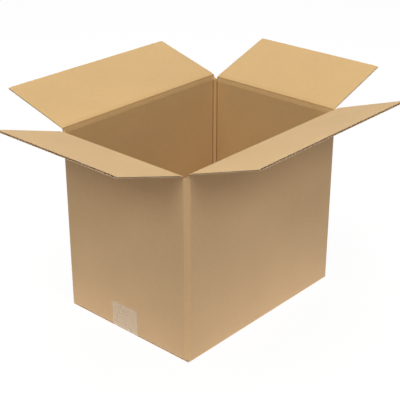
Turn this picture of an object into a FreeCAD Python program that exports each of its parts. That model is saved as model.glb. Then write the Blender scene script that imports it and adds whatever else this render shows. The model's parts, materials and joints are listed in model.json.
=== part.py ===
import FreeCAD, Part
import math
import os

# An open slotted carton, folded from one sheet of single wall corrugated board.
# Sizes are in millimetres and degrees. X runs along the long walls, Y along the end walls, Z is up.
# The origin is the middle of the underside.

INSIDE_LENGTH = 330.0
INSIDE_WIDTH = 240.0
INSIDE_HEIGHT = 276.0

# The board: two liners with a fluted sheet between them
BOARD = 3.0
LINER = 0.4
MEDIUM = 0.35
FLUTE_PITCH = 6.4
FLUTE_CREST = 1.0
FLUTE_MARGIN = 1.6

# The folds between walls, and between the walls and the bottom flaps
CORNER_LEG = 6.5
FOLD_INNER = 1.0
FOLD_REST = 1.0
SEAM = 2.0
LAYER_GAP = 0.3

# The slots between neighbouring flaps
MAJOR_RELIEF = 0.5
MINOR_RELIEF = 3.3
SLOT_DEPTH = 1.0

# The crushed fold line that each top flap turns on
NOSE_RADIUS = 1.4
HINGE_OFFSET = 0.2
FOLD_GAP = 0.3
CRUSH_LENGTH = 4.5

# The angle that each top flap stands open from upright
FRONT_ANGLE = 71.0
BACK_ANGLE = 74.5
LEFT_ANGLE = 72.5
RIGHT_ANGLE = 71.5

# The glued tab that closes the sheet into a sleeve
TAB_WIDTH = 35.0
TAB_TAPER = 12.0
TAB_END = 8.0

# The strip of tape over the bottom seam
TAPE_WIDTH = 50.0
TAPE_TAIL = 45.0
TAPE_THICK = 0.1
TAPE_SHIFT = 3.0

# Outside sizes and levels that follow from the sizes above
HALF_LENGTH = INSIDE_LENGTH / 2 + BOARD
HALF_WIDTH = INSIDE_WIDTH / 2 + BOARD
FLAP_LENGTH = HALF_WIDTH + HINGE_OFFSET - SEAM / 2
MAJOR_HALF = INSIDE_LENGTH / 2 - MAJOR_RELIEF
MINOR_HALF = INSIDE_WIDTH / 2 - MINOR_RELIEF
FOLD_OUTER = BOARD + FOLD_INNER
MINOR_BASE = BOARD + LAYER_GAP
MINOR_TURN = MINOR_BASE + FOLD_OUTER
WALL_FOOT = MINOR_TURN + FOLD_REST
MINOR_HINGE = MINOR_BASE + BOARD + INSIDE_HEIGHT + BOARD + HINGE_OFFSET
MAJOR_HINGE = MINOR_HINGE + BOARD + LAYER_GAP
END_WALL_TOP = MINOR_HINGE - NOSE_RADIUS - FOLD_GAP
LONG_WALL_TOP = MAJOR_HINGE - NOSE_RADIUS - FOLD_GAP
CORNER_TOP = MINOR_HINGE - HINGE_OFFSET - BOARD - SLOT_DEPTH
TONGUE_LENGTH = BOARD + HINGE_OFFSET + FOLD_GAP

UP = FreeCAD.Vector(0, 0, 1)
HINGE_LINE = FreeCAD.Vector(1, 0, 0)
ORIGIN = FreeCAD.Vector(0, 0, 0)


def closed_face(edges):
    """Flat face inside a closed chain of edges."""
    return Part.Face(Part.Wire(edges))


def polygon_face(points):
    """Flat face with straight sides through the given points."""
    corners = [FreeCAD.Vector(*point) for point in points]
    return Part.Face(Part.makePolygon(corners + corners[:1]))


def place_on_wall(shape, heading, distance):
    """Move a shape from the front position, outer face at y = 0, to the wall at that heading."""
    shape.translate(FreeCAD.Vector(0, -distance, 0))
    shape.rotate(ORIGIN, UP, heading)
    return shape


def cornered_block(half_x, half_y, leg, bottom, top):
    """Upright block whose four vertical corners are cut off at 45 degrees."""
    points = []
    for sign in (1, -1):
        points.append((sign * (half_x - leg), -sign * half_y, bottom))
        points.append((sign * half_x, -sign * (half_y - leg), bottom))
        points.append((sign * half_x, sign * (half_y - leg), bottom))
        points.append((sign * (half_x - leg), sign * half_y, bottom))
    return polygon_face(points).extrude(UP * (top - bottom))


def outer_block(bottom, top):
    """Everything inside the outer faces of the walls; each corner turns in two rounded 45 degree folds."""
    block = cornered_block(HALF_LENGTH, HALF_WIDTH, CORNER_LEG, bottom, top)
    upright = [edge for edge in block.Edges if edge.BoundBox.ZLength > edge.BoundBox.DiagonalLength / 2]
    return block.makeFillet(BOARD, upright)


def wall_ring(bottom, top):
    """The four walls between two levels, one board thick all round."""
    inner_leg = CORNER_LEG - BOARD * (2 - math.sqrt(2))
    hollow = cornered_block(INSIDE_LENGTH / 2, INSIDE_WIDTH / 2, inner_leg, bottom, top)
    return outer_block(bottom, top).cut(hollow)


def centred_box(half_x, half_y, bottom, top):
    """Box centred on the origin in X and Y."""
    corner = FreeCAD.Vector(-half_x, -half_y, bottom)
    return Part.makeBox(2 * half_x, 2 * half_y, top - bottom, corner)


def wall_tops():
    """The straight walls above the slots: long walls up to the major folds, end walls up to the minor folds."""
    long_zone = centred_box(HALF_LENGTH - CORNER_LEG, HALF_WIDTH, CORNER_TOP, LONG_WALL_TOP)
    long_zone = long_zone.cut(centred_box(HALF_LENGTH, INSIDE_WIDTH / 2, CORNER_TOP, LONG_WALL_TOP))
    end_zone = centred_box(HALF_LENGTH, HALF_WIDTH - CORNER_LEG, CORNER_TOP, END_WALL_TOP)
    end_zone = end_zone.cut(centred_box(INSIDE_LENGTH / 2, HALF_WIDTH, CORNER_TOP, END_WALL_TOP))
    ring = wall_ring(CORNER_TOP, LONG_WALL_TOP)
    return [ring.common(long_zone), ring.common(end_zone)]


def corner_feet():
    """The four corner folds below the end walls, down to the slots of the bottom flaps."""
    ring = wall_ring(FOLD_OUTER, WALL_FOOT)
    ring = ring.cut(centred_box(INSIDE_LENGTH / 2 - CORNER_LEG, HALF_WIDTH, FOLD_OUTER, WALL_FOOT))
    return ring.cut(centred_box(HALF_LENGTH, MINOR_HALF, FOLD_OUTER, WALL_FOOT))


def bottom_flap(half_width, base, heading, distance):
    """A closed bottom flap with its fold and the foot of its wall, clipped to the folded corners."""
    reach = HALF_WIDTH - SEAM / 2
    turn = base + FOLD_OUTER
    diagonal = math.sqrt(0.5)

    def line(start, end):
        return Part.LineSegment(FreeCAD.Vector(0, *start), FreeCAD.Vector(0, *end)).toShape()

    def fold(radius, start, end):
        middle = FreeCAD.Vector(0, FOLD_OUTER - radius * diagonal, turn - radius * diagonal)
        return Part.Arc(FreeCAD.Vector(0, *start), middle, FreeCAD.Vector(0, *end)).toShape()

    edges = [line((reach, base), (FOLD_OUTER, base))]
    edges.append(fold(FOLD_OUTER, (FOLD_OUTER, base), (0, turn)))
    edges.append(line((0, turn), (0, WALL_FOOT)))
    edges.append(line((0, WALL_FOOT), (BOARD, WALL_FOOT)))
    edges.append(line((BOARD, WALL_FOOT), (BOARD, turn)))
    edges.append(fold(FOLD_INNER, (BOARD, turn), (FOLD_OUTER, base + BOARD)))
    edges.append(line((FOLD_OUTER, base + BOARD), (reach, base + BOARD)))
    edges.append(line((reach, base + BOARD), (reach, base)))
    flap = closed_face(edges).extrude(HINGE_LINE * (2 * half_width))
    flap.translate(HINGE_LINE * -half_width)
    return place_on_wall(flap, heading, distance).common(outer_block(0, WALL_FOOT))


def glue_tab():
    """Tapered tab that runs on from the right wall and is glued inside the front wall."""
    face = -INSIDE_WIDTH / 2
    root = INSIDE_LENGTH / 2
    low = WALL_FOOT + TAB_END
    high = CORNER_TOP - TAB_END
    outline = [(root, face, low), (root, face, high)]
    outline.append((root - TAB_WIDTH, face, high - TAB_TAPER))
    outline.append((root - TAB_WIDTH, face, low + TAB_TAPER))
    return polygon_face(outline).extrude(FreeCAD.Vector(0, BOARD, 0))


def carton_body():
    """The folded sheet without its top flaps: walls, closed bottom flaps and glue tab in one solid."""
    pieces = [wall_ring(WALL_FOOT, CORNER_TOP), corner_feet(), glue_tab()]
    pieces += wall_tops()
    for heading in (0, 180):
        pieces.append(bottom_flap(MAJOR_HALF, 0, heading, HALF_WIDTH))
    for heading in (90, 270):
        pieces.append(bottom_flap(MINOR_HALF, MINOR_BASE, heading, HALF_LENGTH))
    body = pieces[0].multiFuse(pieces[1:])
    recess = Part.makeBox(2 * HALF_LENGTH, TAPE_WIDTH, TAPE_THICK,
                          FreeCAD.Vector(-HALF_LENGTH, TAPE_SHIFT - TAPE_WIDTH / 2, 0))
    return body.cut(recess).removeSplitter()


def flute_pockets(half_width):
    """The open ends of the flutes: two rows of tapered channels that interlock along the flap's edge."""
    core = BOARD - 2 * LINER
    depth = core - MEDIUM
    slope = (FLUTE_PITCH / 2 - FLUTE_CREST) / depth
    leaning_medium = MEDIUM * math.hypot(1, slope)
    half_at_middle = (FLUTE_PITCH / 2 - leaning_medium) / 2
    base = half_at_middle + slope * core / 2
    crest = half_at_middle - slope * (depth - core / 2)
    low = TONGUE_LENGTH + CRUSH_LENGTH
    height = FLAP_LENGTH - low
    near = HINGE_OFFSET + LINER
    far = HINGE_OFFSET + BOARD - LINER
    count = 2 * int((half_width - FLUTE_MARGIN - base) / FLUTE_PITCH)
    pockets = []
    for index in range(-count, count + 1):
        middle = index * FLUTE_PITCH / 2
        if index % 2 == 0:
            wide, narrow = near, near + depth
        else:
            wide, narrow = far, far - depth
        outline = [(middle - base, wide, low), (middle + base, wide, low)]
        outline += [(middle + crest, narrow, low), (middle - crest, narrow, low)]
        pockets.append(polygon_face(outline).extrude(UP * height))
    return pockets


def top_flap(half_width, opening, heading, distance, hinge_height):
    """A top flap: round nose on the fold line, thin crushed tongue, then the full board with open flutes."""
    nose = Part.makeCylinder(NOSE_RADIUS, 2 * half_width, FreeCAD.Vector(-half_width, 0, 0), HINGE_LINE)
    tongue = Part.makeBox(2 * half_width, NOSE_RADIUS - HINGE_OFFSET, TONGUE_LENGTH,
                          FreeCAD.Vector(-half_width, HINGE_OFFSET, 0))
    board = Part.makeBox(2 * half_width, BOARD, FLAP_LENGTH - TONGUE_LENGTH,
                         FreeCAD.Vector(-half_width, HINGE_OFFSET, TONGUE_LENGTH))
    flap = nose.multiFuse([tongue, board]).removeSplitter()
    flap = flap.cut(Part.makeCompound(flute_pockets(half_width)))
    flap.rotate(ORIGIN, HINGE_LINE, opening)
    flap.translate(UP * hinge_height)
    return place_on_wall(flap, heading, distance + HINGE_OFFSET)


def tape_region(skin):
    """Area under the tape's path, seen along Y: skin 0 is the face on the board, TAPE_THICK the outside."""
    radius = FOLD_OUTER + skin
    turn = FreeCAD.Vector(HALF_LENGTH - FOLD_OUTER, 0, MINOR_TURN)
    floor = TAPE_THICK - skin
    # The tape leaves the underside at the end of the major flaps and meets the round fold as a tangent.
    run = MAJOR_HALF - turn.x
    dip = math.asin((FOLD_OUTER + TAPE_THICK) / math.hypot(run, MINOR_TURN)) - math.atan2(run, MINOR_TURN)
    leave = turn.x + (radius - (MINOR_TURN - floor) * math.sin(dip)) / math.cos(dip)

    def on_fold(angle):
        return turn + FreeCAD.Vector(radius * math.cos(angle), 0, -radius * math.sin(angle))

    def mirrored(vector):
        return FreeCAD.Vector(-vector.x, 0, vector.z)

    tail = FreeCAD.Vector(HALF_LENGTH + skin, 0, TAPE_TAIL)
    edge = FreeCAD.Vector(leave, 0, floor)
    edges = [Part.LineSegment(mirrored(edge), edge).toShape()]
    edges.append(Part.LineSegment(edge, on_fold(dip)).toShape())
    edges.append(Part.Arc(on_fold(dip), on_fold(dip / 2), on_fold(0)).toShape())
    edges.append(Part.LineSegment(on_fold(0), tail).toShape())
    edges.append(Part.LineSegment(tail, mirrored(tail)).toShape())
    edges.append(Part.LineSegment(mirrored(tail), mirrored(on_fold(0))).toShape())
    edges.append(Part.Arc(mirrored(on_fold(0)), mirrored(on_fold(dip / 2)), mirrored(on_fold(dip))).toShape())
    edges.append(Part.LineSegment(mirrored(on_fold(dip)), mirrored(edge)).toShape())
    return closed_face(edges)


def bottom_tape():
    """One strip of tape: along the bottom seam and up both end walls."""
    across = FreeCAD.Vector(0, TAPE_WIDTH, 0)
    strip = tape_region(TAPE_THICK).extrude(across).cut(tape_region(0).extrude(across))
    strip.translate(FreeCAD.Vector(0, TAPE_SHIFT - TAPE_WIDTH / 2, 0))
    return strip


def main():
    """Build every piece and write one file for each."""
    nodes = {
        "carton_body": carton_body(),
        "front_flap": top_flap(MAJOR_HALF, FRONT_ANGLE, 0, HALF_WIDTH, MAJOR_HINGE),
        "right_flap": top_flap(MINOR_HALF, RIGHT_ANGLE, 90, HALF_LENGTH, MINOR_HINGE),
        "back_flap": top_flap(MAJOR_HALF, BACK_ANGLE, 180, HALF_WIDTH, MAJOR_HINGE),
        "left_flap": top_flap(MINOR_HALF, LEFT_ANGLE, 270, HALF_LENGTH, MINOR_HINGE),
        "bottom_tape": bottom_tape(),
    }
    os.makedirs("parts", exist_ok=True)
    for name, shape in nodes.items():
        shape.exportStep("parts/" + name + ".step")
        print(name, len(shape.Solids), "solid", shape.isValid(), round(shape.Volume), "cubic mm")


main()
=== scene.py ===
"""Looks of an open slotted carton: corrugated flaps, scored folds, kraft paper and packing tape."""

import json
import math

import bpy
import numpy as np
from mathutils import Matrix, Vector


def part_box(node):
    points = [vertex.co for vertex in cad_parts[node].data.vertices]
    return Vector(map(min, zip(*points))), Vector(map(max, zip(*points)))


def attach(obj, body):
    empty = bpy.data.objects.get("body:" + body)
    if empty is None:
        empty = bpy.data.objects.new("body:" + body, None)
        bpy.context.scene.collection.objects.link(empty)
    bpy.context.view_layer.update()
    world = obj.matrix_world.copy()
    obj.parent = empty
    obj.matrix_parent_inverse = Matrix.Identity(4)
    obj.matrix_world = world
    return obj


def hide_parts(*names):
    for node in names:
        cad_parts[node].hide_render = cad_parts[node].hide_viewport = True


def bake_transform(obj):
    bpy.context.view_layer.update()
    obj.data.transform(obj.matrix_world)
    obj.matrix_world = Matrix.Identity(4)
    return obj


bl_info = {
    "name": "Open slotted carton",
    "version": (1, 0, 0),
    "blender": (4, 5, 0),
    "location": "3D View > Sidebar > Carton",
    "description": "Corrugated flaps, scored folds, kraft paper and packing tape around a packed carton",
    "category": "Add Mesh",
}

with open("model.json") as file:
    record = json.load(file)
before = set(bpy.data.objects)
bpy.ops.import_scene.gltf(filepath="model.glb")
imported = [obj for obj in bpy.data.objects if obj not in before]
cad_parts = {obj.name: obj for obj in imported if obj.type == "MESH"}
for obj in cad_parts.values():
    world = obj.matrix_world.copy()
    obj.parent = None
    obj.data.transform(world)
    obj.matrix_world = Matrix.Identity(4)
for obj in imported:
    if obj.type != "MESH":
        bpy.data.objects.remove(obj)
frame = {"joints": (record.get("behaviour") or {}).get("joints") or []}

MM = 0.001
WALLS = ("front", "right", "back", "left")

# Finish numbers: places in the list that paper_set gives
OUTSIDE, INSIDE, FLUTE, TORN, CUT = range(5)
SOLID_BOARD = (OUTSIDE, INSIDE, CUT)
CRUSHED_BOARD = (OUTSIDE, INSIDE, OUTSIDE)
CORRUGATED = ((OUTSIDE, OUTSIDE, TORN), (INSIDE, INSIDE, TORN), (FLUTE, FLUTE, FLUTE))

# Walls follow each other on the unfolded sheet at this many flutes
PANEL_FLUTES = 50

# The corner bands lie at 45 degrees between the walls
SLANT = math.sqrt(0.5)

# Cut ends: how far short of the true edge a sheet ends on average, and how far its edge wanders
LINER_SHORT = 0.22 * MM
LINER_WANDER = 0.16 * MM
FLUTE_SHORT = 0.30 * MM
FLUTE_WANDER = 0.14 * MM
SIDE_WANDER = 0.12 * MM

# Worn paper: how far it reaches in from a cut edge, and its mark
WEAR_REACH = 1.2 * MM
WEAR_MARK = 0.35

# Corner bands, lighter at the top as rubbed paper and painted highlight: the mark there, how far down it
# fades, and how much darker than the walls it ends, as painted shade
RUB_AND_HIGHLIGHT = 0.4
RUB_AND_HIGHLIGHT_REACH = 70 * MM
FOOT_SHADE = 0.1

# Heights of the tape's two faces above the board
TAPE_FACE = 0.10 * MM
TAPE_BACK = 0.03 * MM

# First seeds of the random edges
BOTTOM_SEED = 20
TOP_SEED = 40
FOLD_SEED = 70

body_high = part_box("carton_body")[1]
tape_low, tape_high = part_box("bottom_tape")
HALF_LENGTH = body_high.x
HALF_WIDTH = body_high.y
JOINTS = {joint["name"]: joint for joint in frame["joints"]}


class CartonBoard(bpy.types.PropertyGroup):
    """Sizes of the board and of its folds"""

    thickness: bpy.props.FloatProperty(
        name="Thickness", description="Thickness of the board", default=3 * MM, unit="LENGTH")
    liner: bpy.props.FloatProperty(
        name="Liner", description="Thickness of each flat sheet", default=0.4 * MM, unit="LENGTH")
    medium: bpy.props.FloatProperty(
        name="Fluted sheet", description="Thickness of the wavy sheet", default=0.3 * MM, unit="LENGTH")
    pitch: bpy.props.FloatProperty(
        name="Flute pitch", description="Distance from flute to flute", default=6.4 * MM, unit="LENGTH")
    seam: bpy.props.FloatProperty(
        name="Seam", description="Gap between two flaps that meet", default=2 * MM, unit="LENGTH")
    corner_leg: bpy.props.FloatProperty(
        name="Corner leg", description="Depth of the crushed band at each upright corner",
        default=6.5 * MM, unit="LENGTH")
    layer_gap: bpy.props.FloatProperty(
        name="Layer gap", description="Gap between two closed bottom flaps", default=0.3 * MM, unit="LENGTH")
    bend: bpy.props.FloatProperty(
        name="Bend radius", description="Inner radius of the bottom folds", default=1 * MM, unit="LENGTH")
    slot_depth: bpy.props.FloatProperty(
        name="Slot depth", description="How far the slots run down below the end flaps' fold",
        default=1.9 * MM, unit="LENGTH")
    score_reach: bpy.props.FloatProperty(
        name="Score reach", description="Half width of the crushed band along each top fold",
        default=6 * MM, unit="LENGTH")
    score_depth: bpy.props.FloatProperty(
        name="Score depth", description="How deep the crushed band is pressed in", default=1.8 * MM,
        unit="LENGTH")
    pinch_reach: bpy.props.FloatProperty(
        name="Pinch reach", description="Width of the strip that the knife crushes along a flap's side",
        default=6 * MM, unit="LENGTH")
    pinch_depth: bpy.props.FloatProperty(
        name="Pinch depth", description="How far each face is crushed in along a flap's side",
        default=0.6 * MM, unit="LENGTH")
    tab_width: bpy.props.FloatProperty(
        name="Glue tab", description="Width of the glued tab", default=35 * MM, unit="LENGTH")
    tab_taper: bpy.props.FloatProperty(
        name="Tab taper", description="How much each end of the tab tapers", default=12 * MM, unit="LENGTH")


class CartonFinish(bpy.types.PropertyGroup):
    """Colours of the paper and the tape"""

    outside: bpy.props.FloatVectorProperty(
        name="Outside", description="Colour of the kraft sheet on the outside", subtype="COLOR", size=3,
        min=0, max=1, default=(0.585, 0.381, 0.194))
    inside: bpy.props.FloatVectorProperty(
        name="Inside", description="Colour of the kraft sheet on the inside", subtype="COLOR", size=3,
        min=0, max=1, default=(0.60, 0.393, 0.174))
    flute: bpy.props.FloatVectorProperty(
        name="Fluted sheet", description="Colour of the wavy sheet", subtype="COLOR", size=3,
        min=0, max=1, default=(0.70, 0.48, 0.26))
    cut: bpy.props.FloatVectorProperty(
        name="Cut edge", description="Colour of the fibres on a cut edge", subtype="COLOR", size=3,
        min=0, max=1, default=(0.80, 0.63, 0.42))
    tape: bpy.props.FloatVectorProperty(
        name="Tape", description="Colour of the packing tape", subtype="COLOR", size=3,
        min=0, max=1, default=(0.88, 0.75, 0.57))
    tape_cover: bpy.props.FloatProperty(
        name="Tape cover", description="How much of the board one side of the tape hides", subtype="FACTOR",
        min=0, max=1, default=0.30)


class CartonStage(bpy.types.PropertyGroup):
    """Camera, lamps and floor"""

    camera_place: bpy.props.FloatVectorProperty(
        name="Camera", description="Where the camera stands", subtype="XYZ", size=3, unit="LENGTH",
        default=(-1.0389, -0.9275, 0.8168))
    camera_heading: bpy.props.FloatProperty(
        name="Heading", description="Direction of view, clockwise from +Y", subtype="ANGLE",
        default=math.radians(48.084))
    camera_dip: bpy.props.FloatProperty(
        name="Dip", description="How far the camera looks down", subtype="ANGLE",
        default=math.radians(25.330))
    lens: bpy.props.FloatProperty(
        name="Lens", description="Focal length in millimetres on a sensor 36 mm wide", default=91.03)
    floor: bpy.props.FloatVectorProperty(
        name="Floor", description="Colour of the floor", subtype="COLOR", size=3,
        min=0, max=1, default=(0.35, 0.35, 0.35))
    floor_half: bpy.props.FloatProperty(
        name="Floor reach", description="Half the side of the floor", default=4.0, unit="LENGTH")
    glow: bpy.props.FloatProperty(
        name="Table light", description="Strength of the light table under the box", default=1.33)
    table: bpy.props.FloatProperty(
        name="Table reach", description="Distance at which the table's light has faded to a third",
        default=0.39, unit="LENGTH")
    dome: bpy.props.FloatProperty(
        name="Dome", description="Strength of the light from all round", default=0.13)
    key: bpy.props.FloatProperty(
        name="Main lamp", description="Power of the large lamp above and behind, in watts", default=35.5)
    fill: bpy.props.FloatProperty(
        name="Wall lamps", description="Power of each lamp that faces a near wall, in watts", default=25.5)


def board():
    return bpy.context.scene.carton_board


def turned(heading, across, outward, height):
    """Points of a wall's own frame, as seen from outside, turned about Z to the wall at that heading.

    The front wall's outward direction is -Y, and each point is rotated by the heading.
    """
    angle = math.radians(heading)
    x = across * math.cos(angle) + outward * math.sin(angle)
    y = across * math.sin(angle) - outward * math.cos(angle)
    return np.stack(np.broadcast_arrays(x, y, height), axis=-1)


def smooth(share):
    """0 below 0, 1 above 1, and 3 s^2 - 2 s^3 between them."""
    share = np.clip(share, 0, 1)
    return share * share * (3 - 2 * share)


def bell(along, middle, width):
    """1 in the middle, and a bell curve to both sides."""
    return np.exp(-((along - middle) / width) ** 2)


def ripple(along, reach, seed):
    """Sum of seven sines with random phases, within 1; wavelengths run from reach down to a ninth of it."""
    draw = np.random.default_rng(seed)
    count = 7
    steps = np.linspace(1, 9, count) * draw.uniform(0.85, 1.15, count)
    phases = draw.uniform(0, 2 * math.pi, count)
    weights = steps ** -0.6
    waves = np.sin(2 * math.pi * np.asarray(along)[..., None] / reach * steps + phases)
    return waves @ weights / weights.sum()


def slab(outer, inner, uv, wrap=False, **marks):
    """Closed sheet between an outer and an inner grid of points, columns to the right and rows upwards.

    A cell joins the grid points (i, j), (i+1, j), (i+1, j+1), (i, j+1); the inner grid has them the other
    way round, and a rim of one cell joins the two grids along each open border. With wrap the last column
    joins the first, and uv has one column more than the points. A mark is a pair of grids, outer and inner.
    """
    columns, rows = outer.shape[:2]
    corner = np.arange(columns * rows).reshape(columns, rows)
    if wrap:
        corner = np.vstack([corner, corner[:1]])
    spot = np.arange(len(uv) * rows).reshape(-1, rows)

    def cells(grid, under):
        face = np.stack([grid[:-1, :-1], grid[1:, :-1], grid[1:, 1:], grid[:-1, 1:]], -1).reshape(-1, 4)
        back = np.stack([under[:-1, 1:], under[1:, 1:], under[1:, :-1], under[:-1, :-1]], -1).reshape(-1, 4)
        rims = [np.stack([grid[1:, 0], grid[:-1, 0], under[:-1, 0], under[1:, 0]], -1)]
        rims.append(np.stack([grid[:-1, -1], grid[1:, -1], under[1:, -1], under[:-1, -1]], -1))
        if not wrap:
            rims.append(np.stack([grid[0, :-1], grid[0, 1:], under[0, 1:], under[0, :-1]], -1))
            rims.append(np.stack([grid[-1, 1:], grid[-1, :-1], under[-1, :-1], under[-1, 1:]], -1))
        return [face, back, np.vstack(rims)]

    faces = cells(corner, corner + columns * rows)
    spots = cells(spot, spot)
    values = {"depth": np.repeat([0.0, 1.0], columns * rows)}
    for name, (on_outer, on_inner) in marks.items():
        pair = [np.broadcast_to(grid, (columns, rows)).ravel() for grid in (on_outer, on_inner)]
        values[name] = np.concatenate(pair)
    return {
        "points": np.vstack([outer.reshape(-1, 3), inner.reshape(-1, 3)]),
        "faces": np.vstack(faces),
        "uv": uv.reshape(-1, 2)[np.vstack(spots).ravel()],
        "kind": np.repeat([0, 1, 2], [len(part) for part in faces]),
        "values": values,
    }


def merged(slabs, finishes):
    """One mesh table from several slabs; each slab's outer, inner and rim faces get its three finishes."""
    starts = np.cumsum([0] + [len(part["points"]) for part in slabs[:-1]])
    names = sorted({name for part in slabs for name in part["values"]})
    values = {}
    for name in names:
        values[name] = np.concatenate(
            [part["values"].get(name, np.zeros(len(part["points"]))) for part in slabs])
    return {
        "points": np.vstack([part["points"] for part in slabs]),
        "faces": np.vstack([part["faces"] + start for part, start in zip(slabs, starts)]),
        "uv": np.vstack([part["uv"] for part in slabs]),
        "finish": np.concatenate([np.array(three)[part["kind"]] for part, three in zip(slabs, finishes)]),
        "values": values,
    }


def make_piece(name, slabs, finishes, materials, sharp=35):
    """Mesh object at the origin from closed slabs, with its sheet UV map and its marks as attributes."""
    table = merged(slabs, finishes)
    mesh = bpy.data.meshes.new(name)
    mesh.from_pydata(table["points"], [], table["faces"].tolist())
    mesh.uv_layers.new(name="sheet").uv.foreach_set("vector", table["uv"].astype(np.float32).ravel())
    for mark, numbers in table["values"].items():
        mesh.attributes.new(mark, "FLOAT", "POINT").data.foreach_set("value", numbers.astype(np.float32))
    for material in materials:
        mesh.materials.append(material)
    mesh.polygons.foreach_set("material_index", table["finish"].astype(np.int32))
    mesh.shade_smooth()
    mesh.set_sharp_from_angle(angle=math.radians(sharp))
    mesh.validate()
    piece = bpy.data.objects.new(name, mesh)
    bpy.context.scene.collection.objects.link(piece)
    return piece


class Socket:
    """A number that flows through a material; the operators add the Math nodes that work it out."""

    def __init__(self, tree, source):
        self.tree = tree
        self.source = source

    def math(self, operation, *others):
        return add_node(self.tree, "ShaderNodeMath", {"operation": operation}, [self, *others])

    def __add__(self, other):
        return self.math("ADD", other)

    def __sub__(self, other):
        return self.math("SUBTRACT", other)

    def __rsub__(self, other):
        return add_node(self.tree, "ShaderNodeMath", {"operation": "SUBTRACT"}, [other, self])

    def __mul__(self, other):
        return self.math("MULTIPLY", other)

    __radd__ = __add__
    __rmul__ = __mul__

    def clipped(self, low, high):
        """0 at low, 1 at high, straight between them and clipped outside."""
        return add_node(self.tree, "ShaderNodeMapRange", {"clamp": True}, [self, low, high, 0.0, 1.0])


def add_node(tree, kind, settings=None, values=(), output=0):
    """Add a node: its settings first, then the values or links of its sockets, by place or by name."""
    node = tree.nodes.new(kind)
    for name, value in (settings or {}).items():
        setattr(node, name, value)
    pairs = values.items() if isinstance(values, dict) else enumerate(values)
    for place, value in pairs:
        if isinstance(value, Socket):
            tree.links.new(value.source, node.inputs[place])
        elif value is not None:
            node.inputs[place].default_value = value
    return Socket(tree, node.outputs[output]) if node.outputs else None


def new_material(name):
    """Empty node material with its output node."""
    material = bpy.data.materials.new(name)
    material.use_nodes = True
    material.node_tree.nodes.clear()
    return material, material.node_tree


def finish_with(tree, shader):
    add_node(tree, "ShaderNodeOutputMaterial", None, {"Surface": shader})


def noise(tree, vector, scale, detail=2.0, roughness=0.5):
    """Smooth random number, about 0.5 on average."""
    values = {"Vector": vector, "Scale": scale, "Detail": detail, "Roughness": roughness}
    return add_node(tree, "ShaderNodeTexNoise", None, values)


def mark(tree, name):
    """A mesh attribute as a number."""
    return add_node(tree, "ShaderNodeAttribute", {"attribute_name": name}, output="Fac")


def stretched(tree, vector, across, along):
    """The sheet's UV with each direction stretched, so that a noise on it makes streaks."""
    return add_node(tree, "ShaderNodeVectorMath", {"operation": "MULTIPLY"}, [vector, (across, along, 1.0)])


def tinted(tree, colour, amount):
    """A colour times a number."""
    values = {0: colour, "Scale": amount}
    return add_node(tree, "ShaderNodeVectorMath", {"operation": "SCALE"}, values)


def blended(tree, share, first, second):
    """Colour that goes from first to second as share goes from 0 to 1."""
    settings = {"data_type": "RGBA"}
    return add_node(tree, "ShaderNodeMix", settings, {"Factor": share, 6: first, 7: second}, output=2)


def opaque(colour):
    return (*colour, 1.0)


def object_place(tree):
    return add_node(tree, "ShaderNodeTexCoord", output="Object")


def sheet_place(tree):
    return add_node(tree, "ShaderNodeUVMap", {"uv_map": "sheet"})


def surface(tree, base, rough, height, others):
    """Give the material its shader, raised by a height in millimetres."""
    raised = add_node(tree, "ShaderNodeBump", None, {"Strength": 1.0, "Distance": MM, "Height": height})
    values = {"Base Color": base, "Roughness": rough, "Normal": raised, **others}
    finish_with(tree, add_node(tree, "ShaderNodeBsdfPrincipled", None, values))


def kraft(name, colour):
    """Kraft liner: clouded brown paper with short fibres along the machine direction.

    Tone = 1 + clouds + blotches + fibres + faint flute lines - flecks. Below 0 the mark is painted shade
    in creases and folds, darker and warmer; above 0 it is lighter, as wear at cut edges and as painted
    highlight on fold shoulders and corner bands. The flute lines, fibres and blotches also raise the surface.
    """
    material, tree = new_material(name)
    place = object_place(tree)
    sheet = sheet_place(tree)
    across = add_node(tree, "ShaderNodeSeparateXYZ", None, [sheet])
    clouds = noise(tree, place, 11.0, 3.0) - 0.5
    blotches = noise(tree, place, 170.0, 4.0, 0.6) - 0.5
    fibres = noise(tree, stretched(tree, sheet, 330.0, 2100.0), 1.0, 3.0, 0.65) - 0.5
    threads = noise(tree, stretched(tree, sheet, 900.0, 70.0), 1.0, 2.0, 0.5) - 0.5
    flecks = noise(tree, stretched(tree, sheet, 700.0, 1300.0), 1.0, 1.0, 0.4).clipped(0.72, 0.80)
    flute = (across * (2 * math.pi / board().pitch)).math("COSINE")
    # Painted shade and highlight: below 0 the mark darkens and warms the paper in creases and folds; above 0
    # it lightens it, as wear at cut edges and as painted highlight.
    score = mark(tree, "score")
    fold = (score * -1.0).clipped(0.0, 1.0)
    wear_and_highlight = score.clipped(0.0, 1.0)
    tone = 1.0 + clouds * 0.16 + blotches * 0.13 + fibres * 0.13 + threads * 0.05 + flute * 0.008
    tone = tone - flecks * 0.10 - fold * 0.42 + wear_and_highlight * 0.15
    warm = blended(tree, fold * 0.7, opaque(colour), opaque((colour[0], colour[1] * 0.86, colour[2] * 0.66)))
    base = tinted(tree, warm, tone)
    rough = 0.84 + blotches * 0.12 + fibres * 0.10
    height = flute * 0.022 + fibres * 0.030 + blotches * 0.020 + threads * 0.020
    others = {"Specular IOR Level": 0.30, "Sheen Weight": 0.22, "Sheen Roughness": 0.45}
    surface(tree, base, rough, height, others)
    return material


def flute_paper(name, colour):
    """Fluted sheet: darker, coarser paper with streaks along the flutes."""
    material, tree = new_material(name)
    place = object_place(tree)
    sheet = sheet_place(tree)
    grain = noise(tree, place, 900.0, 4.0, 0.6) - 0.5
    streaks = noise(tree, stretched(tree, sheet, 1500.0, 160.0), 1.0, 2.0) - 0.5
    tone = 1.0 + grain * 0.30 + streaks * 0.25
    height = grain * 0.05 + streaks * 0.03
    base = tinted(tree, tuple(colour), tone)
    surface(tree, base, 0.92 + grain * 0.1, height, {"Specular IOR Level": 0.25})
    return material


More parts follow.
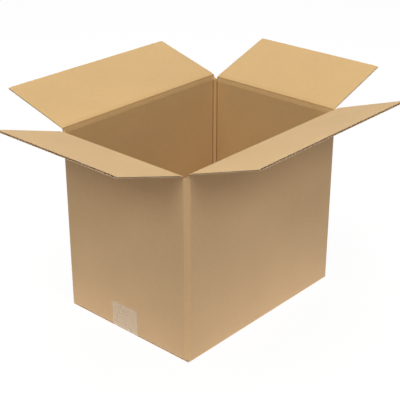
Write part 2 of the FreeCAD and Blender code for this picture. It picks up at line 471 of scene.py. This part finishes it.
def cut_edge(name, cut, flute):
    """Cut end of solid board: pale torn fibres, with painted shade inside the open flutes between the two
    liners.

    The wavy sheet lies at half the depth plus a cosine across the flutes; a point between the liners and
    away from that wave is the inside of a flute, pressed in by the bump and painted dark as its shade.
    """
    material, tree = new_material(name)
    place = object_place(tree)
    sheet = sheet_place(tree)
    across = add_node(tree, "ShaderNodeSeparateXYZ", None, [sheet])
    depth = mark(tree, "depth")
    wave = 0.5 + (across * (2 * math.pi / board().pitch)).math("COSINE") * 0.33
    from_wave = (depth - wave).math("ABSOLUTE").clipped(0.10, 0.18)
    from_middle = (depth - 0.5).math("ABSOLUTE")
    shaded_hollow = from_wave * (1.0 - from_middle.clipped(0.34, 0.38))
    grain = noise(tree, place, 1500.0, 3.0, 0.6) - 0.5
    pale = tinted(tree, tuple(cut), 1.0 + grain * 0.35)
    # Painted shade: the darkened colour of the fluted sheet stands for the shade inside the open flutes.
    dark = tinted(tree, tuple(flute), 0.45 + grain * 0.2)
    base = blended(tree, shaded_hollow, pale, dark)
    surface(tree, base, 0.94 + grain * 0.08, shaded_hollow * -0.6, {"Specular IOR Level": 0.2})
    return material


def torn_edge(name, cut):
    """Cut edge of one thin liner: pale loose fibres."""
    material, tree = new_material(name)
    place = object_place(tree)
    grain = noise(tree, place, 1800.0, 3.0, 0.65) - 0.5
    base = tinted(tree, tuple(cut), 1.0 + grain * 0.4)
    surface(tree, base, 0.95 + grain * 0.06, grain * 0.1, {"Specular IOR Level": 0.2})
    return material


def clear_tape(name, colour, cover):
    """Frosted packing tape: milky film with stretch lines along it and small blisters of air under it."""
    material, tree = new_material(name)
    sheet = sheet_place(tree)
    place = object_place(tree)
    lines = noise(tree, stretched(tree, sheet, 420.0, 9.0), 1.0, 3.0, 0.6) - 0.5
    blisters = noise(tree, place, 260.0, 3.0, 0.55).clipped(0.54, 0.66)
    rim = mark(tree, "rim")
    alpha = cover + lines * 0.10 + blisters * 0.06 + rim * 0.16
    base = tinted(tree, tuple(colour), 1.0 + lines * 0.10 + rim * 0.10)
    rough = 0.34 + blisters * 0.16 + lines * 0.1
    surface(tree, base, rough, lines * 0.05 + blisters * 0.04, {"Alpha": alpha, "IOR": 1.49})
    return material


def paper_set():
    """The five board materials, made once, in the order of the finish numbers."""
    finish = bpy.context.scene.carton_finish
    names = ("kraft_outside", "kraft_inside", "flute_paper", "torn_edge", "cut_edge")
    if names[0] not in bpy.data.materials:
        kraft(names[OUTSIDE], finish.outside)
        kraft(names[INSIDE], finish.inside)
        flute_paper(names[FLUTE], finish.flute)
        torn_edge(names[TORN], finish.cut)
        cut_edge(names[CUT], finish.cut, finish.flute)
    return [bpy.data.materials[name] for name in names]


def panel_step():
    """Distance from the middle of one wall to the next on the unfolded sheet, in whole flutes."""
    return PANEL_FLUTES * board().pitch


def wall_uv(wall, across, up):
    """Place on the unfolded sheet in metres: the walls follow each other, and the flutes run upwards."""
    return np.stack(np.broadcast_arrays(WALLS.index(wall) * panel_step() + across, up), axis=-1)


def wall_sizes(wall):
    """Heading of a wall, distance of its outer face, and half its straight width between the corner bands."""
    heading = 90 * WALLS.index(wall)
    if wall in ("front", "back"):
        return heading, HALF_WIDTH, HALF_LENGTH - board().corner_leg
    return heading, HALF_LENGTH, HALF_WIDTH - board().corner_leg


def flap_half(wall):
    """Half width of a flap, the same at the top and at the bottom."""
    low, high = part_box(wall + "_flap")
    return (high.x - low.x) / 2 if wall in ("front", "back") else (high.y - low.y) / 2


def hinge(wall):
    """Distance and height of a top fold's axis, and how far its flap stands open at rest."""
    joint = JOINTS[wall + "_fold"]
    spot = joint["pos_m"]
    distance = max(abs(spot[0]), abs(spot[1]))
    return distance, spot[2], math.radians(180 - joint["range_deg"][1])


def flap_reach():
    """Length of every flap from its fold's axis: two long flaps meet over the middle of the box."""
    return hinge("front")[0] - board().seam / 2


def across_flap(half, beside, gap, count):
    """Places across a flap: the given steps from both cut sides, and even ones from gap to gap."""
    between = np.linspace(-half + gap, half - gap, count)
    return np.concatenate([-half + beside, between, half - beside[::-1]])[:, None]


def corrugated(place, half, near, far, seed):
    """Three slabs of corrugated board between two distances along the flutes: liner, fluted sheet, liner.

    place(across, along, depth) gives a point of the board, whose depth runs from 0 on the outer face to
    the thickness on the inner one. The fluted sheet's depth is the middle minus a cosine across the
    flutes, thickened at right angles to the wave. The cut ends wander by a ripple, and the fluted sheet
    ends a little short of the liners.
    """
    sizes = board()
    beside = np.array([0, 0.6, 1.4, 2.4, 3.6, 5.0]) * MM
    across = across_flap(half, beside, gap=9 * MM, count=60)
    sign = math.copysign(1, far - near)
    steps = np.array([0, 0.08, 0.3, 0.6, 1, 1, 1, 1])
    before_end = np.array([0, 0, 0, 0, 4.0, 1.6, 0.6, 0]) * MM
    parts = []
    for number, top in enumerate((0.0, sizes.thickness - sizes.liner)):
        end = far - sign * (LINER_SHORT + LINER_WANDER * ripple(across, 90 * MM, seed + number))
        along = near + (end - near) * steps - sign * before_end
        wide = across * (1 - SIDE_WANDER * (1 + ripple(along, 70 * MM, seed + 5 + number)) / half)
        worn = np.exp(-np.minimum(half - abs(across), abs(end - along)) / WEAR_REACH)
        grids = [place(wide, along, top), place(wide, along, top + sizes.liner)]
        parts.append((grids, wide, along, worn))
    points_a_flute = 10
    side_gap = 0.5 * MM
    count = int(2 * half / sizes.pitch * points_a_flute)
    across = np.linspace(-half + side_gap, half - side_gap, count)[:, None]
    turn = 2 * math.pi * across / sizes.pitch
    swing = (sizes.thickness - 2 * sizes.liner - sizes.medium) / 2
    slope = -swing * np.sin(turn) * 2 * math.pi / sizes.pitch
    shift = sizes.medium / 2 / np.sqrt(1 + slope ** 2)
    middle = sizes.thickness / 2 + swing * np.cos(turn)
    end = far - sign * (FLUTE_SHORT + FLUTE_WANDER * ripple(across, 40 * MM, seed + 9))
    along = near + (end - near) * np.array([0, 0.5, 1])
    grids = []
    for side in (-1, 1):
        grids.append(place(across - side * slope * shift, along, middle + side * shift))
    parts.append((grids, across, along, 0 * along))
    return parts


def flap_slabs(wall, sheets, level, way):
    """Slabs and finishes of a flap's three sheets, which go on up the wall's sheet (1) or down it (-1).

    Rows that run down are turned round, so that the outer face keeps the handedness of the walls.
    """
    parts = []
    finishes = []
    for number, (pair, wide, along, worn) in enumerate(sheets):
        outer, inner = (grid[:, ::way] for grid in pair)
        spot = wall_uv(wall, wide, level + way * along)[:, ::way]
        wear = (worn * WEAR_MARK)[:, ::way]
        parts.append(slab(outer, inner, spot, score=(wear, wear)))
        finishes.append(CORRUGATED[number])
    return parts, finishes


class CARTON_OT_sleeve(bpy.types.Operator):
    """Four walls in one closed ring, with crushed corner bands and scored inner folds"""

    bl_idname = "carton.sleeve"
    bl_label = "Walls"

    def execute(self, context):
        """The inner skin follows straight walls and 45 degree corner bands, and the outer skin lies one
        board outside it along a normal that turns evenly at each fold, which rounds the outer folds."""
        sizes = board()
        columns = sleeve_columns()
        rows = np.array([0, 0.01, 0.02, 0.04, 0.1, 0.3, 0.5, 0.6, 0.7, 0.78, 0.85, 0.9, 0.94, 0.97, 0.99, 1])
        low = columns["low"][:, None]
        height = low + (columns["top"][:, None] - low) * rows
        skins = []
        for push in (sizes.thickness, columns["groove"]):
            spot = columns["foot"] + columns["normal"] * np.asarray(push).reshape(-1, 1)
            level = [np.broadcast_to(spot[:, None, axis], height.shape) for axis in (0, 1)]
            skins.append(np.stack([*level, height], -1))
        along = np.append(columns["sheet"], columns["sheet"][0] + len(WALLS) * panel_step())
        uv = np.stack([np.broadcast_to(along[:, None], (len(along), len(rows))),
                       np.vstack([height, height[:1]])], -1)
        # Outer skin of each corner band: rubbed paper and painted highlight at the top, fading down into
        # painted shade at the foot. Inner skin: painted shade in the fold lines and painted highlight beside
        # them.
        fade = bell(height, columns["top"][:, None], RUB_AND_HIGHLIGHT_REACH)
        rub_highlight_and_shade = columns["rub_highlight_and_shade"][:, None] * ((1 + FOOT_SHADE) * fade - FOOT_SHADE)
        score = (rub_highlight_and_shade, columns["score"][:, None] + 0 * height)
        parts = [slab(skins[0], skins[1], uv, wrap=True, score=score)]
        piece = make_piece("carton_walls", parts, [SOLID_BOARD], paper_set())
        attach(piece, "root")
        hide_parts("carton_body")
        return {"FINISHED"}


def sleeve_columns():
    """Upright columns round the sleeve: foot on the inner skin, outward normal, both ends and marks.

    One corner runs from a long wall to an end wall. Along a wall or a band the normal stays, and at each
    of the two folds the foot stays while the normal turns by 45 degrees. The groove is how far the inner
    skin is pressed in. Other corners are mirror images, taken in turn round the box.
    """
    sizes = board()
    radius = sizes.thickness
    rest = corner_start()
    start = np.array([HALF_LENGTH - sizes.corner_leg - rest, HALF_WIDTH - radius])
    finish = np.array([HALF_LENGTH - radius, HALF_WIDTH - sizes.corner_leg - rest])
    band = np.linalg.norm(finish - start)
    beside = np.array([30, 4.5, 2.8, 1.5, 0.8]) * MM
    # Inner skin beside each fold: painted highlight a little way off and painted shade next to the fold line
    beside_shade_and_highlight = (0, 0, 0.5, 0.1, -0.6)
    turn = np.array([0, 11, 22.5, 34, 45])
    press = np.array([0.405, 0.72, 0.9, 0.72, 0.405]) * MM
    long_cut = (flap_half("front") - start[0] - radius * SLANT) / SLANT
    end_cut = math.degrees(math.asin((flap_half("right") - finish[1]) / radius))
    in_band = np.array([0.8, 1.6]) * MM
    on_band = np.concatenate([in_band, [long_cut, long_cut], band - in_band[::-1]])
    # Inner skin across the band: painted shade at its two fold lines, slightly lighter in the middle as
    # painted highlight
    band_shade_and_highlight = (-0.6, -0.05, 0.15, 0.15, -0.05, -0.6)
    # Each row: foot x, foot y, turn of the normal in degrees, groove, inner mark: painted shade below 0 in
    # and next to the fold lines, painted highlight above 0 beside them
    rows = [[start[0] - gap, start[1], 0, 0, tone] for gap, tone in zip(beside, beside_shade_and_highlight)]
    rows += [[*start, angle, depth, -1.0] for angle, depth in zip(turn, press)]
    rows += [[*(start + (finish - start) * gap / band), 45, 0, tone] for gap, tone in zip(on_band, band_shade_and_highlight)]
    far_turn = np.sort(np.append(90 - turn, [90 - end_cut] * 2))
    far_press = np.interp(far_turn, 90 - turn[::-1], press)
    rows += [[*finish, angle, depth, -1.0] for angle, depth in zip(far_turn, far_press)]
    rows += [[finish[0], finish[1] - gap, 90, 0, tone] for gap, tone in zip(beside[::-1], beside_shade_and_highlight[::-1])]
    rows = np.array(rows)
    count = len(rows)
    long_end = len(beside) + len(turn) + 2
    before_cut = int(np.searchsorted(far_turn, 90 - end_cut, "right")) - 1
    end_start = count - len(beside) - len(far_turn) + before_cut
    spread = np.arange(count)
    slot = hinge("right")[1] - sizes.slot_depth
    top = np.where(spread <= long_end, hinge("front")[1] - sizes.score_reach, slot)
    top = np.where(spread >= end_start, hinge("right")[1] - sizes.score_reach, top)
    fold = sizes.thickness + sizes.bend
    low = np.where(spread >= end_start, sizes.thickness + sizes.layer_gap + fold, fold)
    # Strength of the corner bands' rubbed paper and painted highlight, fading in and out at their edges
    rub_highlight_and_shade = RUB_AND_HIGHLIGHT * np.interp(spread, [1, len(beside) + 3, end_start - 1, count - 2], [0, 1, 1, 0])
    share = np.interp(spread, [len(beside) - 1, count - len(beside)], [0, 1])
    step = panel_step()
    long_sheet = rows[:, 0]
    end_sheet = step - rows[:, 1]
    before = long_sheet[len(beside) - 1]
    after = end_sheet[count - len(beside)]
    sheet = np.where(share >= 1, end_sheet, before + (after - before) * share)
    sheet = np.where(share <= 0, long_sheet, sheet)
    angle = np.radians(rows[:, 2])
    quarter = {"foot": rows[:, :2], "normal": np.stack([np.sin(angle), np.cos(angle)], -1),
               "groove": rows[:, 3], "score": rows[:, 4], "rub_highlight_and_shade": rub_highlight_and_shade, "top": top, "low": low, "sheet": sheet}
    loop = {name: [] for name in quarter}
    for number, (side_x, side_y) in enumerate(((1, -1), (1, 1), (-1, 1), (-1, -1))):
        for name, numbers in quarter.items():
            if name in ("foot", "normal"):
                numbers = numbers * (side_x, side_y)
            if name == "sheet":
                numbers = number * step + (numbers if number % 2 == 0 else step - numbers)
            loop[name].append(numbers if number % 2 == 0 else numbers[::-1])
    return {name: np.concatenate(parts) for name, parts in loop.items()}


class CARTON_OT_bottom(bpy.types.Operator):
    """Four closed bottom flaps with their rounded folds"""

    bl_idname = "carton.bottom"
    bl_label = "Bottom flaps"

    def execute(self, context):
        """The fold's profile is two arcs about one centre, a board apart; the flap goes on flat."""
        sizes = board()
        # The long flaps lie this far above the ground plane, which leaves room for the tape
        tape_room = 0.12 * MM
        flat = 2 * MM
        radius = sizes.thickness + sizes.bend
        down_arc = [5.4, 4.4, 3.5, 2.6, 1.7, 0.9, 0]
        for wall in WALLS:
            heading, distance, straight = wall_sizes(wall)
            half = flap_half(wall)
            major = wall in ("front", "back")
            foot = 0.0 if major else sizes.thickness + sizes.layer_gap
            base = tape_room if major else foot
            turn = foot + radius

            def place(across, along, depth):
                level = base + depth * (foot + sizes.thickness - base) / sizes.thickness
                return turned(heading, across, distance - along, level)

            def skin(across, rim):
                """Flat stretch, then a quarter arc up to the wall; rim is the arc's radius."""
                angle = np.radians(np.array([90, 90, 78, 64, 50, 36, 22, 10, 0]))
                inward = radius - rim * np.cos(angle)
                inward[0] += flat
                level = turn - rim * np.sin(angle)
                level = np.maximum(level, base if rim > sizes.thickness else level)
                limit = np.minimum(half, straight + inward)
                wide = across * limit / half
                return turned(heading, wide, distance - inward, level)

            across = np.linspace(-half, half, 40)[:, None]
            arc = radius * 1.6
            run = -np.append([flat + arc, arc], np.array(down_arc) * MM)
            # Outer skin: lighter wear along the rounded bottom edge. Inner skin: painted shade along the
            # inside of the fold.
            outer_wear_and_shade = WEAR_MARK * bell(run, middle=-2.6 * MM, width=2.2 * MM) + 0 * across
            inner_shade = -0.6 * (run > -6 * MM) + 0 * across
            fold = slab(skin(across, radius), skin(across, sizes.bend), wall_uv(wall, across, turn + run),
                        score=(outer_wear_and_shade, inner_shade))
            reach = flap_reach() + distance - hinge(wall)[0]
            sheets = corrugated(place, half, radius + flat, reach, BOTTOM_SEED)
            parts, finishes = flap_slabs(wall, sheets, turn, -1)
            piece = make_piece(wall + "_bottom_flap", [fold, *parts], [SOLID_BOARD, *finishes], paper_set())
            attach(piece, "root")
            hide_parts("carton_body")
        return {"FINISHED"}


class CARTON_OT_glue_tab(bpy.types.Operator):
    """Tapered tab glued inside the front wall"""

    bl_idname = "carton.glue_tab"
    bl_label = "Glue tab"

    def execute(self, context):
        """Both ends slope: their height changes by the taper, in step with the distance from the corner."""
        sizes = board()
        root = HALF_LENGTH - sizes.thickness
        face = HALF_WIDTH - sizes.thickness
        glue = 0.05 * MM
        edge_mark = 0.4
        edge_reach = 1.5 * MM
        below_fold = 12.2 * MM
        low = 16.3 * MM
        high = hinge("right")[1] - below_fold
        across = np.linspace(0, 1, 16)[:, None]
        rows = np.linspace(0, 1, 24)
        x = root - sizes.tab_width * (1 - across)
        end = sizes.tab_taper * (1 - across)
        height = low + end + (high - low - 2 * end) * rows
        outer = turned(0, x + 0 * rows, face - glue, height)
        inner = turned(0, x + 0 * rows, face - sizes.thickness + glue, height)
        wear = edge_mark * np.exp(-across * sizes.tab_width / edge_reach) + 0 * rows
        tab = slab(outer, inner, wall_uv("front", x + 0 * rows, height), score=(wear, wear))
        piece = make_piece("glue_tab", [tab], [SOLID_BOARD], paper_set())
        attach(piece, "root")
        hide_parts("carton_body")
        return {"FINISHED"}


class CARTON_OT_top_flaps(bpy.types.Operator):
    """Four top flaps of corrugated board with open flutes"""

    bl_idname = "carton.top_flaps"
    bl_label = "Top flaps"

    def execute(self, context):
        """The board starts where the crushed band of the fold ends and runs to the flap's tip."""
        sizes = board()
        for seed, wall in enumerate(WALLS):
            sheets = corrugated(flap_place(wall), flap_half(wall), sizes.score_reach, flap_reach(),
                                TOP_SEED + 11 * seed)
            parts, finishes = flap_slabs(wall, sheets, hinge(wall)[1], 1)
            piece = make_piece(wall + "_flap_board", parts, finishes, paper_set())
            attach(piece, wall + "_flap")
            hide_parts(wall + "_flap")
        return {"FINISHED"}


def flap_place(wall):
    """Function from (across, along the flap, depth from its outer face) to a point, turned about its fold.

    Along the cut sides both faces are crushed in towards the middle of the board, by a smooth step of the
    distance from the side and of the distance past the crushed band of the fold.
    """
    heading, face, _ = wall_sizes(wall)
    distance, rise, rest = hinge(wall)
    back = distance - face
    half = flap_half(wall)
    sizes = board()
    full = 1.5 * sizes.pinch_depth

    def place(across, along, depth, turn=rest):
        near = smooth((abs(across) - half) / sizes.pinch_reach + 1) * smooth(along / sizes.score_reach + 1)
        off_middle = np.clip((depth - sizes.thickness / 2) / full, -1, 1)
        outward = -back - depth + off_middle * near * sizes.pinch_depth
        out = distance + outward * np.cos(turn) + along * np.sin(turn)
        up = rise - outward * np.sin(turn) + along * np.cos(turn)
        return turned(heading, across, out, up)

    return place


class CARTON_OT_folds(bpy.types.Operator):
    """Crushed, scored bands that the top flaps bend on"""

    bl_idname = "carton.folds"
    bl_label = "Top folds"

    def execute(self, context):
        """Upright, the outer skin is flat and the inner one a V with a narrow groove at its bottom. Each
        point is then turned about the fold's axis by the opening angle times a smooth step of its height."""
        sizes = board()
        # Half height of the strip that bends, width of the groove's narrow line, half of a blend's depth,
        # which only goes into lean, and nothing uses lean
        soft = 1.5 * MM
        line = 0.45 * MM
        blend_half = 1.34 * MM
        beside = np.array([0, 0.5, 1.2, 2.2, 3.4, 4.4]) * MM
        levels = np.array([-6, -5.2, -4.2, -3, -2, -1.5, -1.1, -0.75, -0.4, -0.15, 0])
        levels = np.concatenate([levels, -levels[-2::-1]]) * MM
        for seed, wall in enumerate(WALLS):
            heading, _, straight = wall_sizes(wall)
            distance, rise, rest = hinge(wall)
            across = across_flap(flap_half(wall), beside, gap=6 * MM, count=70)
            groove = sizes.score_depth * (1 - abs(levels) / sizes.score_reach)
            groove = groove + line * bell(levels, 0, line)
            groove = groove + 0.10 * MM * ripple(across, 60 * MM, FOLD_SEED + seed) * (groove > 0.3 * MM)
            turn = rest * smooth((levels + soft) / (2 * soft))
            fade = 1 - smooth((levels + sizes.score_reach) / (sizes.score_reach - 1 * MM))
            outer_in = corner_inset(abs(across) - straight) * fade
            inner_in = np.maximum(abs(across) - straight + corner_start(), 0) * fade
            place = flap_place(wall)
            outer = place(across, levels, outer_in, turn)
            inner = place(across, levels, np.maximum(sizes.thickness - groove, 0.5 * MM) + inner_in, turn)
            # Painted shade: a dark line along the middle of the fold on both skins, and on the inner skin's
            # lower half a darker slope and a dark line where the crushed band ends.
            dark = bell(levels, middle=0, width=0.8 * MM)
            shoulder = bell(abs(levels), middle=5.6 * MM, width=0.7 * MM)
            slope = smooth((abs(levels) - 1.6 * MM) / (1.5 * MM)) * (1 - shoulder)
            inner_shade = -0.30 * slope * (levels < 0) - dark - 0.25 * shoulder * (levels < 0) + 0 * across
            outer_wear_and_shade = -0.5 * dark + 0 * across
            band = slab(outer, inner, wall_uv(wall, across, rise + levels), score=(outer_wear_and_shade, inner_shade))
            piece = make_piece(wall + "_fold", [band], [CRUSHED_BOARD], paper_set(), sharp=60)
            middle = turned(heading, 0.0, distance, rise)
            lean = turned(heading, 0.0, math.sin(rest / 2), math.cos(rest / 2)) * blend_half
            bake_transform(piece)
            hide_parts(wall + "_flap")
        return {"FINISHED"}


def corner_start():
    """Distance from the corner band's edge back to where its rounded fold begins."""
    return board().thickness * math.tan(math.radians(22.5))


def corner_inset(past):
    """How far the outer skin has turned in, at a distance past the band's edge: flat, arc, then a slant."""
    radius = board().thickness
    run = past + corner_start()
    arc = radius - np.sqrt(radius ** 2 - np.clip(run, 0, radius * SLANT) ** 2)
    return np.where(run < radius * SLANT, arc, past)


class CARTON_OT_tape(bpy.types.Operator):
    """Strip of packing tape along the bottom seam and up both end walls"""

    bl_idname = "carton.tape"
    bl_label = "Tape"

    def execute(self, context):
        """The path comes down one end wall, round the fold, along the bottom and up the other wall. The
        cut ends are a zigzag: their height drops by a triangle wave across the tape."""
        across = np.linspace(tape_low.y, tape_high.y, 101)[:, None]
        tooth = 1.25 * MM
        tooth_height = 0.9 * MM
        side_rim = 0.7 * MM
        end_rim = 0.8 * MM
        drop = tooth_height * abs(2 * ((across / tooth) % 1) - 1)
        outer = tape_skin(across, TAPE_FACE, drop)
        inner = tape_skin(across, TAPE_BACK, drop)
        middle = outer[len(across) // 2]
        path = np.append(0, np.cumsum(np.linalg.norm(np.diff(middle, axis=0), axis=1)))
        uv = np.stack(np.broadcast_arrays(across, path), -1)
        side = np.minimum(across - tape_low.y, tape_high.y - across)
        end = np.minimum(path, path[-1] - path)
        rim = np.maximum(np.exp(-side / side_rim), np.exp(-end / end_rim))
        finish = context.scene.carton_finish
        film = clear_tape("packing_tape", finish.tape, finish.tape_cover)
        strip = slab(outer, inner, uv, rim=(rim, rim))
        piece = make_piece("packing_tape", [strip], [(0, 0, 0)], [film])
        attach(piece, "root")
        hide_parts("bottom_tape")
        return {"FINISHED"}


def tape_skin(across, lift, drop):
    """Grid of one face of the tape, lift above the board: wall, arc, slant, bottom, and the mirror image."""
    sizes = board()
    fold = sizes.thickness + sizes.bend
    centre = HALF_LENGTH - fold
    level = sizes.thickness + sizes.layer_gap + fold
    past_flap = 0.2 * MM
    edge = flap_half("front") + past_flap
    floor = TAPE_FACE - lift
    run = edge - centre
    drop_to = level - floor
    dip = math.asin((fold + lift) / math.hypot(run, drop_to)) - math.atan2(run, drop_to)
    share = np.linspace(1, 0, 22)
    wall_z = level + (tape_high.z - drop - level) * share
    wall_x = centre + fold + lift + 0 * share
    angle = np.linspace(0, dip, 7)[1:]
    arc_x = centre + (fold + lift) * np.cos(angle)
    arc_z = level - (fold + lift) * np.sin(angle)
    slant = np.linspace(0, 1, 4)[1:]
    slant_x = arc_x[-1] + (edge - arc_x[-1]) * slant
    slant_z = arc_z[-1] + (floor - arc_z[-1]) * slant
    flat_x = np.linspace(edge, 0, 40)[1:]
    flat_z = floor + 0 * flat_x
    x = np.concatenate([wall_x, arc_x, slant_x, flat_x])
    tail = np.concatenate([arc_z, slant_z, flat_z])
    z = np.hstack([wall_z, np.broadcast_to(tail, (len(across), len(tail)))])
    x = np.concatenate([-x, x[-2::-1]])
    z = np.hstack([z, z[:, -2::-1]])
    return np.stack(np.broadcast_arrays(x, across, z), -1)


class CARTON_OT_stage(bpy.types.Operator):
    """Floor, white surroundings, lamps and camera"""

    bl_idname = "carton.stage"
    bl_label = "Stage"

    def execute(self, context):
        make_floor()
        make_surroundings()
        make_lamps()
        make_camera()
        return {"FINISHED"}


def seen_directly(tree):
    """1 for rays from the camera, mirrors and clear things, so that white reads white to them only."""
    rays = [add_node(tree, "ShaderNodeLightPath", output=name) for name in
            ("Is Camera Ray", "Is Glossy Ray", "Is Transmission Ray")]
    return rays[0].math("MAXIMUM", rays[1]).math("MAXIMUM", rays[2])


def make_floor():
    """Light table: pale paper that glows round the box and fades outwards as a bell curve.

    To the eye it is mostly white, with a share of real paper that keeps the shadow. Under the box it is
    plain and unlit, so that no light comes up through the bottom seam.
    """
    stage = bpy.context.scene.carton_stage
    below_box = 0.1 * MM
    dark_to = 0.90
    lit_from = 0.97
    white_strength = 1.18
    white_share = 0.80
    square = np.array([[-1, -1, 0], [1, -1, 0], [1, 1, 0], [-1, 1, 0]]) * stage.floor_half
    square[:, 2] = -below_box
    mesh = bpy.data.meshes.new("floor")
    mesh.from_pydata(square, [], [(0, 1, 2, 3)])
    material, tree = new_material("floor_paper")
    place = object_place(tree)
    grain = noise(tree, place, 3.0, 2.0) - 0.5
    reach = add_node(tree, "ShaderNodeVectorMath", {"operation": "LENGTH"}, [place], output="Value")
    glow = (reach * (1 / stage.table)).math("POWER", 2.0)
    edges = []
    for axis, half in enumerate((HALF_LENGTH, HALF_WIDTH)):
        along = add_node(tree, "ShaderNodeSeparateXYZ", None, [place], output=axis)
        edges.append(along.math("ABSOLUTE") * (1 / half))
    beside = edges[0].math("MAXIMUM", edges[1]).clipped(dark_to, lit_from)
    seen = seen_directly(tree)
    glow = (glow * -1.0).math("EXPONENT") * beside * (1.0 - seen) * stage.glow
    values = {"Base Color": tinted(tree, tuple(stage.floor), 1.0 + grain * 0.02), "Roughness": 0.9}
    values["Emission Color"] = tinted(tree, (1, 1, 1), glow)
    values["Emission Strength"] = 1.0
    paper = add_node(tree, "ShaderNodeBsdfPrincipled", None, values)
    light = {"Color": opaque((1, 1, 1)), "Strength": white_strength}
    white = add_node(tree, "ShaderNodeEmission", None, light)
    share = seen * beside * white_share
    finish_with(tree, add_node(tree, "ShaderNodeMixShader", None, [share, paper, white]))
    mesh.materials.append(material)
    floor = bpy.data.objects.new("floor", mesh)
    bpy.context.scene.collection.objects.link(floor)


def make_surroundings():
    """White all round: strength 1 to the camera, and the dome's strength as light."""
    stage = bpy.context.scene.carton_stage
    world = bpy.data.worlds.new("surroundings")
    world.use_nodes = True
    tree = world.node_tree
    tree.nodes.clear()
    seen = seen_directly(tree)
    strength = seen + (1.0 - seen) * stage.dome
    sky = add_node(tree, "ShaderNodeBackground", None, {"Color": (1, 1, 1, 1), "Strength": strength})
    add_node(tree, "ShaderNodeOutputWorld", None, {"Surface": sky})
    bpy.context.scene.world = world


def make_lamps():
    """Three soft lamps: the main one above the box, and one square to each of the two near walls."""
    stage = bpy.context.scene.carton_stage
    add_lamp("main_lamp", stage.key, side=1.6, place=(-0.05, 0.2, 2.4))
    add_lamp("left_lamp", stage.fill, side=0.9, place=(-2.40, -0.60, 2.15))
    add_lamp("front_lamp", stage.fill, side=0.9, place=(-0.60, -2.35, 2.15))


def add_lamp(name, power, side, place):
    """Square lamp that faces the middle of the box."""
    lamp = bpy.data.lights.new(name, "AREA")
    lamp.shape = "SQUARE"
    lamp.size = side
    lamp.energy = power
    holder = bpy.data.objects.new(name, lamp)
    holder.location = place
    aim = Vector((0, 0, body_high.z / 2)) - Vector(place)
    holder.rotation_euler = aim.to_track_quat("-Z", "Y").to_euler()
    bpy.context.scene.collection.objects.link(holder)


def make_camera():
    """Camera at the photograph's viewing angle."""
    stage = bpy.context.scene.carton_stage
    lens = bpy.data.cameras.new("camera")
    lens.sensor_width = 36
    lens.lens = stage.lens
    camera = bpy.data.objects.new("camera", lens)
    camera.location = stage.camera_place
    camera.rotation_euler = (math.pi / 2 - stage.camera_dip, 0, -stage.camera_heading)
    bpy.context.scene.collection.objects.link(camera)
    bpy.context.scene.camera = camera


OPERATORS = (CARTON_OT_sleeve, CARTON_OT_bottom, CARTON_OT_glue_tab, CARTON_OT_top_flaps,
             CARTON_OT_folds, CARTON_OT_tape, CARTON_OT_stage)
GROUPS = {"carton_board": CartonBoard, "carton_finish": CartonFinish, "carton_stage": CartonStage}


class CARTON_PT_panel(bpy.types.Panel):
    """Steps and settings of the carton"""

    bl_idname = "CARTON_PT_panel"
    bl_label = "Carton"
    bl_space_type = "VIEW_3D"
    bl_region_type = "UI"
    bl_category = "Carton"

    def draw(self, context):
        for operator in OPERATORS:
            self.layout.operator(operator.bl_idname)
        for group, kind in GROUPS.items():
            for name in kind.__annotations__:
                self.layout.prop(getattr(context.scene, group), name)


def register():
    for group, kind in GROUPS.items():
        bpy.utils.register_class(kind)
        setattr(bpy.types.Scene, group, bpy.props.PointerProperty(type=kind))
    for kind in (*OPERATORS, CARTON_PT_panel):
        bpy.utils.register_class(kind)


def unregister():
    for kind in reversed((*OPERATORS, CARTON_PT_panel)):
        bpy.utils.unregister_class(kind)
    for group, kind in GROUPS.items():
        delattr(bpy.types.Scene, group)
        bpy.utils.unregister_class(kind)


def main():
    """Dress the carton."""
    bpy.context.scene.view_settings.view_transform = "Standard"
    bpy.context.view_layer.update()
    register()
    bpy.ops.carton.sleeve()
    bpy.ops.carton.bottom()
    bpy.ops.carton.glue_tab()
    bpy.ops.carton.top_flaps()
    bpy.ops.carton.folds()
    bpy.ops.carton.tape()
    bpy.ops.carton.stage()


if __name__ == "__main__":
    main()
